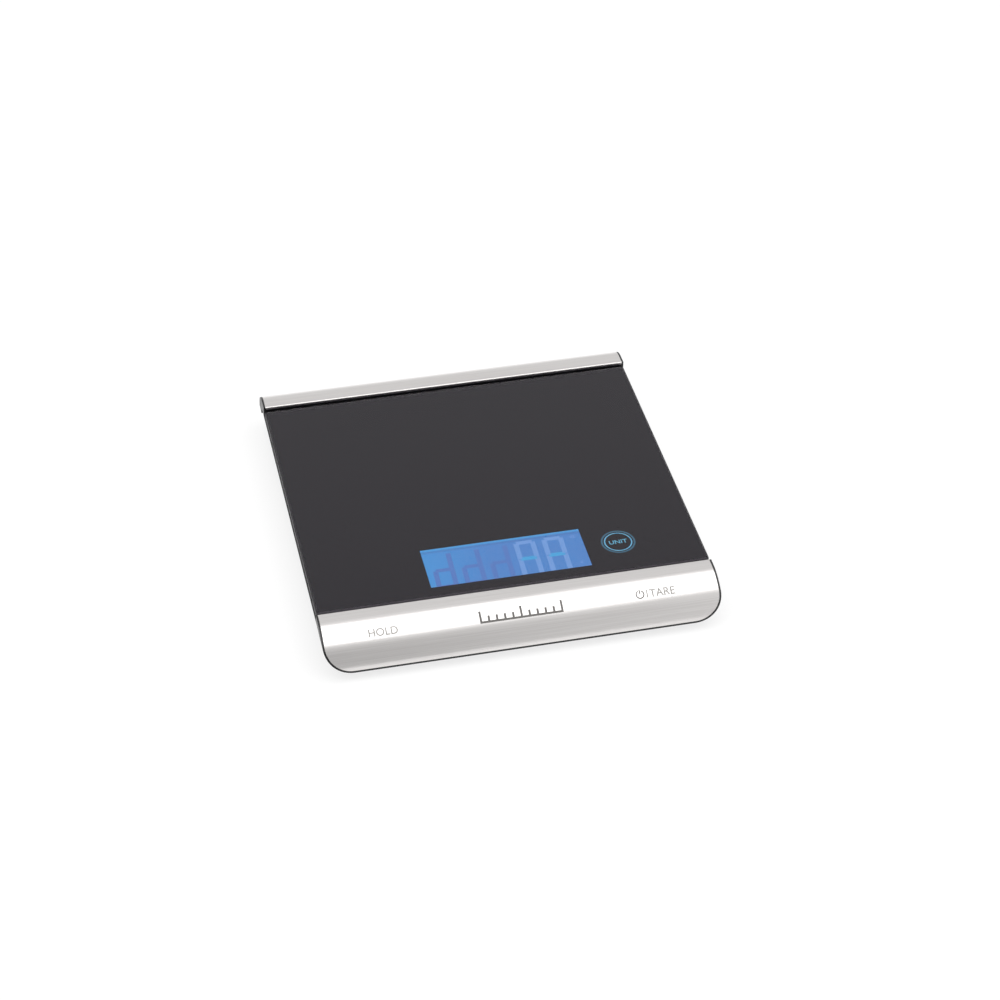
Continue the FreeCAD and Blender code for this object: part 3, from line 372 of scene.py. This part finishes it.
# ---------------------------------------------------------------- what a user may change
class ScaleDisplaySettings(bpy.types.PropertyGroup):
    """Sizes and colours of the lit display and the touch key."""
    glass_border: bpy.props.FloatProperty(
        name="Hidden border", description="Display glass hidden by the print on each side",
        default=2.6 * MM, unit="LENGTH")
    window_depth: bpy.props.FloatProperty(
        name="Window depth", description="Front to back size of the printed window",
        default=29.3 * MM, unit="LENGTH")
    digit_height: bpy.props.FloatProperty(
        name="Digit height", description="Height of a seven-segment digit", default=27.8 * MM, unit="LENGTH")
    digit_width: bpy.props.FloatProperty(
        name="Digit width", description="Width of a digit over its bars", default=11.2 * MM, unit="LENGTH")
    digit_pitch: bpy.props.FloatProperty(
        name="Digit pitch", description="Distance from one digit to the next", default=14.6 * MM,
        unit="LENGTH")
    bar_width: bpy.props.FloatProperty(
        name="Bar width", description="Width of one segment", default=2.6 * MM, unit="LENGTH")
    slant: bpy.props.FloatProperty(
        name="Slant", description="Lean of the digits to the right", default=math.radians(1.5),
        subtype="ANGLE")
    idle_colour: bpy.props.FloatVectorProperty(
        name="Idle segments", description="Colour of segments that are off", subtype="COLOR", size=4,
        default=linear("3f72c0"), min=0.0, max=1.0)
    lit_colour: bpy.props.FloatVectorProperty(
        name="Lit segments", description="Colour of segments that are on", subtype="COLOR", size=4,
        default=linear("679ade"), min=0.0, max=1.0)
    cross_colour: bpy.props.FloatVectorProperty(
        name="Lit middle bars", description="Colour of the middle bars that are on", subtype="COLOR",
        size=4, default=linear("22a4e0"), min=0.0, max=1.0)


class ScalePrintSettings(bpy.types.PropertyGroup):
    """Sizes and colours of the marks printed on the steel and behind the glass."""
    along_trim: bpy.props.FloatProperty(
        name="Marks along the trim", description="From the trim's inner edge, measured over the bend",
        default=15.76 * MM, unit="LENGTH")
    trim_flat: bpy.props.FloatProperty(
        name="Trim flat", description="Level part of the front trim", default=3.76 * MM, unit="LENGTH")
    trim_bend: bpy.props.FloatProperty(
        name="Trim bend", description="Bend radius of the front trim", default=22.7 * MM, unit="LENGTH")
    letter_height: bpy.props.FloatProperty(
        name="Letter height", description="Height of the key names", default=4.1 * MM, unit="LENGTH")
    mark_colour: bpy.props.FloatVectorProperty(
        name="Key names", description="Colour of the printed key names", subtype="COLOR", size=4,
        default=linear("9d9b98"), min=0.0, max=1.0)
    centre_colour: bpy.props.FloatVectorProperty(
        name="Centre mark", description="Colour of the etched mark in the middle", subtype="COLOR", size=4,
        default=linear("6e6c6a"), min=0.0, max=1.0)
    unit_colour: bpy.props.FloatVectorProperty(
        name="Touch key", description="Colour of the lit key name", subtype="COLOR", size=4,
        default=linear("64b0ce"), min=0.0, max=1.0)


# ---------------------------------------------------------------- modelling helpers
def deselect():
    """Leave object mode's selection empty."""
    if bpy.context.mode != "OBJECT":
        bpy.ops.object.mode_set(mode="OBJECT")
    bpy.ops.object.select_all(action="DESELECT")


def settle(piece):
    """Put a piece's place, turn and scale into its mesh."""
    deselect()
    piece.select_set(True)
    bpy.context.view_layer.objects.active = piece
    bpy.ops.object.transform_apply(location=True, rotation=True, scale=True)


def tidy(piece):
    """Merge doubled points and turn every face outwards."""
    deselect()
    piece.select_set(True)
    bpy.context.view_layer.objects.active = piece
    bpy.ops.object.mode_set(mode="EDIT")
    bpy.ops.mesh.select_all(action="SELECT")
    bpy.ops.mesh.remove_doubles(threshold=1e-7)
    bpy.ops.mesh.normals_make_consistent(inside=False)
    bpy.ops.object.mode_set(mode="OBJECT")


def join(name, pieces):
    """Join pieces into one, named."""
    deselect()
    for piece in pieces:
        piece.select_set(True)
    bpy.context.view_layer.objects.active = pieces[0]
    if len(pieces) > 1:
        bpy.ops.object.join()
    whole = bpy.context.object
    whole.name = name
    whole.data.name = name
    return whole


def dress(piece, mat, body="scale_body"):
    """Give a finished piece its material and its body."""
    piece.data.materials.clear()
    piece.data.materials.append(mat)
    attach(piece, body)


def bar(length, width, thickness, pointed=True):
    """One flat segment along X, centred, underside at z = 0, its ends mitred to points."""
    deselect()
    bpy.ops.mesh.primitive_cube_add(size=1.0, location=(0, 0, thickness / 2))
    piece = bpy.context.object
    piece.scale = (length, width, thickness)
    bpy.ops.object.transform_apply(location=True, rotation=False, scale=True)
    bpy.ops.object.mode_set(mode="EDIT")
    bpy.ops.mesh.select_all(action="DESELECT")
    mesh = bmesh.from_edit_mesh(piece.data)
    for edge in mesh.edges:
        a, b = (v.co for v in edge.verts)
        edge.select_set(abs(a.z - b.z) > thickness / 2)
    bmesh.update_edit_mesh(piece.data)
    # Just short of half the width, so that the two corners of an end don't meet
    cut = width / 2 * (0.98 if pointed else 0.3)
    bpy.ops.mesh.bevel(offset=cut, offset_type="OFFSET", segments=1, affect="EDGES")
    bpy.ops.object.mode_set(mode="OBJECT")
    return piece


def copy_of(piece, place, turned=0.0):
    """A copy with its own mesh, turned about Z and moved."""
    deselect()
    piece.select_set(True)
    bpy.context.view_layer.objects.active = piece
    bpy.ops.object.duplicate(linked=False)
    made = bpy.context.object
    made.rotation_euler = (0, 0, turned)
    made.location = place
    settle(made)
    return made


def word(name, text, width, height, thickness):
    """Flat letters, face up, centred on the origin with their underside at z = 0."""
    deselect()
    bpy.ops.object.text_add()
    letters = bpy.context.object
    letters.data.body = text
    letters.data.extrude = 0.05
    letters.data.offset = LETTER_WEIGHT
    letters.data.resolution_u = 5
    bpy.ops.object.convert(target="MESH")
    piece = bpy.context.object
    piece.name = name
    points = [v.co for v in piece.data.vertices]
    low = Vector([min(p[i] for p in points) for i in range(3)])
    high = Vector([max(p[i] for p in points) for i in range(3)])
    size = high - low
    piece.scale = (width / size.x, height / size.y, thickness / size.z)
    middle = (low + high) / 2
    piece.location = (-middle.x * piece.scale.x, -middle.y * piece.scale.y, -low.z * piece.scale.z)
    settle(piece)
    tidy(piece)
    return piece


def ring(name, outer, inner, thickness, around=64):
    """Flat ring, centred, underside at z = 0: a disc inset, opened and given its thickness."""
    deselect()
    bpy.ops.mesh.primitive_circle_add(vertices=around, radius=outer, fill_type="NGON")
    piece = bpy.context.object
    piece.name = name
    bpy.ops.object.mode_set(mode="EDIT")
    bpy.ops.mesh.select_all(action="SELECT")
    bpy.ops.mesh.inset(thickness=(outer - inner) * math.cos(math.pi / around))
    bpy.ops.mesh.delete(type="FACE")
    bpy.ops.mesh.select_all(action="SELECT")
    bpy.ops.mesh.extrude_region_move(TRANSFORM_OT_translate={"value": (0, 0, thickness)})
    bpy.ops.object.mode_set(mode="OBJECT")
    tidy(piece)
    return piece


def cut_lines(piece, step):
    """Cut a flat piece across Y every step, so that it can follow a bend."""
    low = min(v.co.y for v in piece.data.vertices)
    high = max(v.co.y for v in piece.data.vertices)
    deselect()
    piece.select_set(True)
    bpy.context.view_layer.objects.active = piece
    bpy.ops.object.mode_set(mode="EDIT")
    for i in range(1, math.ceil((high - low) / step)):
        bpy.ops.mesh.select_all(action="SELECT")
        bpy.ops.mesh.bisect(plane_co=(0, low + i * step, 0), plane_no=(0, 1, 0))
    bpy.ops.object.mode_set(mode="OBJECT")


def lay_on_trim(piece, x):
    """Wrap a flat piece on the front trim's bend: its middle goes to x, its height round the bend."""
    marks = bpy.context.scene.scale_print
    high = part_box("front_trim")[1]
    bend_y = high.y - marks.trim_flat
    cut_lines(piece, 0.4 * MM)
    for v in piece.data.vertices:
        along = marks.along_trim - v.co.y - marks.trim_flat
        angle = along / marks.trim_bend
        reach = marks.trim_bend + v.co.z
        v.co = (x + v.co.x, bend_y - reach * math.sin(angle),
                high.z - marks.trim_bend + reach * math.cos(angle))
    piece.data.update()
    tidy(piece)


# ---------------------------------------------------------------- operators
class SCALE_OT_finishes(bpy.types.Operator):
    """Give every carried-over part the finish that its record slot names"""
    bl_idname = "scale.finishes"
    bl_label = "Finishes"

    def execute(self, context):
        made = {}
        for part in frame["record"]["subparts"]:
            slot = part["material_slot"]
            if slot not in made:
                made[slot] = FINISHES[slot]()
            node = nodes[part["node"]]
            for place in node.material_slots:
                place.material = made[slot]
            if not node.material_slots:
                node.data.materials.append(made[slot])
        return {"FINISHED"}


# Seven segments: the middle of each in half widths and half heights, and whether it stands upright
SEGMENTS = {
    "a": (0, 1, False), "g": (0, 0, False), "d": (0, -1, False),
    "f": (-1, 0.5, True), "b": (1, 0.5, True), "e": (-1, -0.5, True), "c": (1, -0.5, True),
}
# The segments of each digit that are on, then those that are off but still show
DIGITS = [("", "bcdeg"), ("", "bcdeg"), ("", "bceg"), ("abcefg", ""), ("abcefg", "")]
FIRST_DIGIT = 8.5 * MM       # middle of the first digit from the window's left edge
DIGITS_FROM_BACK = 0.105     # top of the digits from the window's back edge, over the window's depth
UNDER_PRINT = 1.2 * MM       # how far the digits run on under the print at the front
SEGMENT_GAP = 0.15           # between two segments' tips, over a bar's width


class SCALE_OT_display_segments(bpy.types.Operator):
    """Lay the seven-segment digits and the unit signs on the display glass"""
    bl_idname = "scale.display_segments"
    bl_label = "Display Segments"

    def execute(self, context):
        look = context.scene.scale_display
        low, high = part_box("lcd_panel")
        back = high.y - look.glass_border
        front = back - look.window_depth
        first_x = low.x + look.glass_border + FIRST_DIGIT
        width, height, bar_width = look.digit_width, look.digit_height, look.bar_width
        half_x, half_y = (width - bar_width) / 2, (height - bar_width) / 2
        flat = bar(width - bar_width * (1 + SEGMENT_GAP), bar_width, INK)
        upright = bar(half_y - bar_width * SEGMENT_GAP, bar_width, INK)
        middle_y = back - DIGITS_FROM_BACK * look.window_depth - height / 2
        groups = {"idle_segments": [], "lit_segments": [], "lit_cross_bars": []}
        for digit, (on, off) in enumerate(DIGITS):
            for name, (across, up, stands) in SEGMENTS.items():
                if name not in on and name not in off:
                    continue
                y = up * half_y
                lean = (y + height / 2) * math.tan(look.slant)
                x = first_x + digit * look.digit_pitch + across * half_x + lean
                place = (x, middle_y + y, high.z)
                turned = math.pi / 2 - look.slant if stands else 0.0
                piece = copy_of(upright if stands else flat, place, turned)
                group = "idle_segments" if name in off else "lit_segments"
                if name == "g" and name in on:
                    group = "lit_cross_bars"
                groups[group].append(piece)
        for spare in (flat, upright):
            bpy.data.objects.remove(spare, do_unlink=True)
        colours = {"idle_segments": look.idle_colour, "lit_segments": look.lit_colour,
                   "lit_cross_bars": look.cross_colour}
        for name, pieces in groups.items():
            whole = join(name, pieces)
            # The digits run on under the print at the front: the part past the window is cut away
            bpy.ops.object.mode_set(mode="EDIT")
            bpy.ops.mesh.select_all(action="SELECT")
            bpy.ops.mesh.bisect(plane_co=(0, front - UNDER_PRINT, 0), plane_no=(0, 1, 0), clear_inner=True,
                                use_fill=True)
            bpy.ops.object.mode_set(mode="OBJECT")
            tidy(whole)
            dress(whole, segment_light(name, colours[name]))
        return {"FINISHED"}


# Each unit sign, its width, and its middle from the window's back edge, in millimetres
SIGNS = [("oz", 2.6, 5.2), ("g", 1.3, 25.6)]
SIGN_HEIGHT = 1.9 * MM
SIGN_FROM_RIGHT = 4.4 * MM   # middle of the signs from the window's right edge


class SCALE_OT_unit_signs(bpy.types.Operator):
    """Lay the small unit signs beside the digits"""
    bl_idname = "scale.unit_signs"
    bl_label = "Unit Signs"

    def execute(self, context):
        look = context.scene.scale_display
        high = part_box("lcd_panel")[1]
        back, right = high.y - look.glass_border, high.x - look.glass_border
        signs = []
        for text, width, from_back in SIGNS:
            sign = word("sign_" + text, text, width * MM, SIGN_HEIGHT, INK)
            sign.location = (right - SIGN_FROM_RIGHT, back - from_back * MM, high.z)
            settle(sign)
            signs.append(sign)
        whole = join("unit_signs", signs)
        dress(whole, segment_light("unit_signs", look.lit_colour))
        return {"FINISHED"}


UNIT_NAME_SIZE = (9.4 * MM, 2.9 * MM)
OUTER_RING = (8.8 * MM, 7.9 * MM)   # outer and inner radius
OUTER_RING_LIGHT = 0.28             # brightness beside the key's name
PRINT_LIFT = 0.001 * MM             # coloured print in front of the black print


class SCALE_OT_touch_key(bpy.types.Operator):
    """Print the touch key's name and its outer ring behind the glass"""
    bl_idname = "scale.touch_key"
    bl_label = "Touch Key"

    def execute(self, context):
        colour = context.scene.scale_print.unit_colour
        low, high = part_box("unit_light_guide")
        ink_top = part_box("glass_print")[1].z
        middle = ((low.x + high.x) / 2, (low.y + high.y) / 2, ink_top + PRINT_LIFT)
        name = word("unit_key_name", "UNIT", *UNIT_NAME_SIZE, BACK_PRINT)
        name.location = middle
        settle(name)
        dress(name, segment_light("unit_key_name", colour))
        halo = ring("unit_key_outer_ring", *OUTER_RING, BACK_PRINT)
        halo.location = middle
        settle(halo)
        dim = [c * OUTER_RING_LIGHT for c in colour[:3]] + [1.0]
        dress(halo, segment_light("unit_key_outer_ring", dim))
        return {"FINISHED"}


# Marks on the front trim, placed from the middle of the hidden key they name
HOLD_WIDTH = 14.6 * MM
HOLD_SHIFT = -1.9 * MM
TARE_WIDTH = 13.0 * MM
TARE_SHIFT = 2.9 * MM
DIVIDER_SHIFT = -4.8 * MM    # upright line between the power sign and TARE
STROKE = 0.6 * MM
POWER_SHIFT = -8.4 * MM
POWER_RADIUS = 2.25 * MM
POWER_GAP = 0.85 * MM        # half the opening at the top of the sign's ring
POWER_STEM = 2.3 * MM
POWER_STEM_MIDDLE = 1.35 * MM


def upright_bar(length, width, x, y):
    """A square-ended stroke along Y with its middle at x, y."""
    stroke = bar(length, width, INK, pointed=False)
    stroke.rotation_euler = (0, 0, math.pi / 2)
    stroke.location = (x, y, 0)
    settle(stroke)
    return stroke


class SCALE_OT_key_names(bpy.types.Operator):
    """Print the names of the two keys and the power sign on the front trim"""
    bl_idname = "scale.key_names"
    bl_label = "Key Names"

    def execute(self, context):
        marks = context.scene.scale_print
        ink = key_ink("grey_pad_printing_ink", marks.mark_colour)
        hold_x, tare_x = [sum(corner.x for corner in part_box(pad)) / 2
                          for pad in ("hold_key_pad", "tare_key_pad")]
        hold = word("hold_key_name", "HOLD", HOLD_WIDTH, marks.letter_height, INK)
        lay_on_trim(hold, hold_x + HOLD_SHIFT)
        dress(hold, ink)
        tare = word("tare_key_name", "TARE", TARE_WIDTH, marks.letter_height, INK)
        tare.location = (TARE_SHIFT, 0, 0)
        settle(tare)
        divider = upright_bar(marks.letter_height, STROKE, DIVIDER_SHIFT, 0)
        tare = join("tare_key_name", [tare, divider])
        lay_on_trim(tare, tare_x)
        dress(tare, ink)
        power = ring("power_sign", POWER_RADIUS, POWER_RADIUS - STROKE, INK, 48)
        bpy.ops.object.mode_set(mode="EDIT")
        bpy.ops.mesh.select_all(action="DESELECT")
        mesh = bmesh.from_edit_mesh(power.data)
        for face in mesh.faces:
            middle = face.calc_center_median()
            face.select_set(middle.y > 0 and abs(middle.x) < POWER_GAP)
        bmesh.update_edit_mesh(power.data)
        bpy.ops.mesh.delete(type="FACE")
        bpy.ops.mesh.select_all(action="SELECT")
        bpy.ops.mesh.fill_holes(sides=4)
        bpy.ops.object.mode_set(mode="OBJECT")
        power = join("power_sign", [power, upright_bar(POWER_STEM, STROKE, 0, POWER_STEM_MIDDLE)])
        lay_on_trim(power, tare_x + POWER_SHIFT)
        dress(power, key_ink("dark_pad_printing_ink", marks.centre_colour))
        return {"FINISHED"}


# The plain mark in the middle of the front trim: a base line with short and long ticks over it
MARK_X = -0.9 * MM
MARK_STROKE = 1.1 * MM
MARK_LENGTH = 42.0 * MM
MARK_BASE = -2.65 * MM       # middle of the base line from the middle of the mark
TICK_FOOT = -2.1 * MM
TICK_PITCH = 4.1 * MM
LONG_TICK, SHORT_TICK = 5.3 * MM, 2.6 * MM


class SCALE_OT_centre_mark(bpy.types.Operator):
    """Etch a plain row of graduation lines in the middle of the front trim"""
    bl_idname = "scale.centre_mark"
    bl_label = "Centre Mark"

    def execute(self, context):
        base = bar(MARK_LENGTH, MARK_STROKE, INK, pointed=False)
        base.location = (0, MARK_BASE, 0)
        settle(base)
        lines = [base]
        for i in range(-5, 6):
            tall = LONG_TICK if i % 5 == 0 else SHORT_TICK
            lines.append(upright_bar(tall, MARK_STROKE, i * TICK_PITCH, tall / 2 + TICK_FOOT))
        whole = join("graduation_mark", lines)
        lay_on_trim(whole, MARK_X)
        dress(whole, key_ink("etched_grey_steel", context.scene.scale_print.centre_colour))
        return {"FINISHED"}


# Where the room changes, by the direction looked in: each pair is where a change starts and ends
ROOM_LEFT = (0.165, 0.225)
ROOM_LOW = (0.62, 0.95)
ROOM_AHEAD = (-0.5, -0.2)
FRONT_RIGHT_LIGHT = 0.8      # added low in front and to the right


def studio_room():
    """White room, dark low in front and to the left, and brighter low in front and to the right, which
    shades the foot of the front trim from left to right."""
    world = bpy.data.worlds.new("studio_room")
    world.use_nodes = True
    world.node_tree.nodes.clear()
    axes = axes_of(world, "Generated")
    left = ramp(world, axes["X"], *ROOM_LEFT, 1.0, 0.0)
    low = ramp(world, axes["Z"], *ROOM_LOW, 1.0, 0.0)
    ahead = ramp(world, axes["Y"], *ROOM_AHEAD, 1.0, 0.0)
    front = maths(world, "MULTIPLY", low, ahead)
    dark = maths(world, "MULTIPLY", front, left)
    white = ramp(world, dark, 0.0, 1.0, 1.0, 0.0)
    bright = maths(world, "SUBTRACT", front, dark)
    strength = maths(world, "MULTIPLY_ADD", bright, FRONT_RIGHT_LIGHT, white)
    glow = add(world, "ShaderNodeBackground", {"Strength": strength})
    add(world, "ShaderNodeOutputWorld", {"Surface": glow.outputs[0]})
    return world


# The camera looks at the middle of the glass
CAMERA_AZIMUTH = math.radians(-12.29)
CAMERA_ELEVATION = math.radians(38.18)
CAMERA_DISTANCE = 1.3267
FLOOR_SIZE = 14.0
FLOOR_DROP = 0.0002          # floor below the feet, so that the two don't flicker
SOFTBOX_PLACE = Vector((0.0, -0.1, 1.5))
SOFTBOX_AIM = Vector((0, 0, 0.02))


class SCALE_OT_stage(bpy.types.Operator):
    """Set the pale floor, the soft studio light and the camera"""
    bl_idname = "scale.stage"
    bl_label = "Stage"

    def execute(self, context):
        scene = context.scene
        deselect()
        bpy.ops.mesh.primitive_plane_add(size=FLOOR_SIZE, location=(0, 0, -FLOOR_DROP))
        floor = context.object
        floor.name = "studio_floor"
        # Opal acrylic table lit from below, so that it stays pale round the feet
        mat = new_finish("lit_opal_acrylic_table")
        cloud = grain(mat, 30.0)
        floor.data.materials.append(shade(mat, {
            "Base Color": tint(mat, cloud, linear("828282"), linear("858585")),
            "Roughness": 0.9, "Specular IOR Level": 0.0,
            "Emission Color": linear("ffffff"), "Emission Strength": 0.78}))
        scene.world = studio_room()
        bpy.ops.object.light_add(type="AREA", location=SOFTBOX_PLACE)
        lamp = context.object
        lamp.name = "overhead_softbox"
        lamp.data.shape = "RECTANGLE"
        lamp.data.size, lamp.data.size_y = 2.2, 1.5
        lamp.data.energy = 15.5
        lamp.rotation_euler = (SOFTBOX_AIM - SOFTBOX_PLACE).to_track_quat("-Z", "Y").to_euler()
        low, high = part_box("glass_platform")
        target = Vector((0, (low.y + high.y) / 2, high.z))
        level = math.cos(CAMERA_ELEVATION)
        back = Vector((math.sin(CAMERA_AZIMUTH) * level, -math.cos(CAMERA_AZIMUTH) * level,
                       math.sin(CAMERA_ELEVATION)))
        bpy.ops.object.camera_add(location=target + back * CAMERA_DISTANCE)
        camera = context.object
        camera.rotation_euler = (-back).to_track_quat("-Z", "Y").to_euler()
        camera.data.sensor_width = 36.0
        camera.data.lens = 91.61
        camera.data.shift_x, camera.data.shift_y = 0.0210, -0.0179
        camera.data.clip_start, camera.data.clip_end = 0.01, 50.0
        scene.camera = camera
        scene.view_settings.view_transform = "Standard"
        return {"FINISHED"}


class SCALE_PT_panel(bpy.types.Panel):
    """The scale's settings and the steps that build it"""
    bl_label = "Kitchen Scale"
    bl_idname = "SCALE_PT_panel"
    bl_space_type = "VIEW_3D"
    bl_region_type = "UI"
    bl_category = "Kitchen Scale"

    def draw(self, context):
        for settings in (context.scene.scale_display, context.scene.scale_print):
            box = self.layout.box()
            for name in settings.bl_rna.properties.keys():
                if name not in ("rna_type", "name"):
                    box.prop(settings, name)
        for operator in OPERATORS:
            self.layout.operator(operator.bl_idname)


OPERATORS = (
    SCALE_OT_finishes,
    SCALE_OT_display_segments,
    SCALE_OT_unit_signs,
    SCALE_OT_touch_key,
    SCALE_OT_key_names,
    SCALE_OT_centre_mark,
    SCALE_OT_stage,
)
CLASSES = (ScaleDisplaySettings, ScalePrintSettings, *OPERATORS, SCALE_PT_panel)


def register():
    for cls in CLASSES:
        bpy.utils.register_class(cls)
    bpy.types.Scene.scale_display = bpy.props.PointerProperty(type=ScaleDisplaySettings)
    bpy.types.Scene.scale_print = bpy.props.PointerProperty(type=ScalePrintSettings)


def unregister():
    del bpy.types.Scene.scale_print
    del bpy.types.Scene.scale_display
    for cls in reversed(CLASSES):
        bpy.utils.unregister_class(cls)


def main():
    register()
    bpy.ops.scale.finishes()
    bpy.ops.scale.display_segments()
    bpy.ops.scale.unit_signs()
    bpy.ops.scale.touch_key()
    bpy.ops.scale.key_names()
    bpy.ops.scale.centre_mark()
    bpy.ops.scale.stage()


if __name__ == "__main__":
    main()
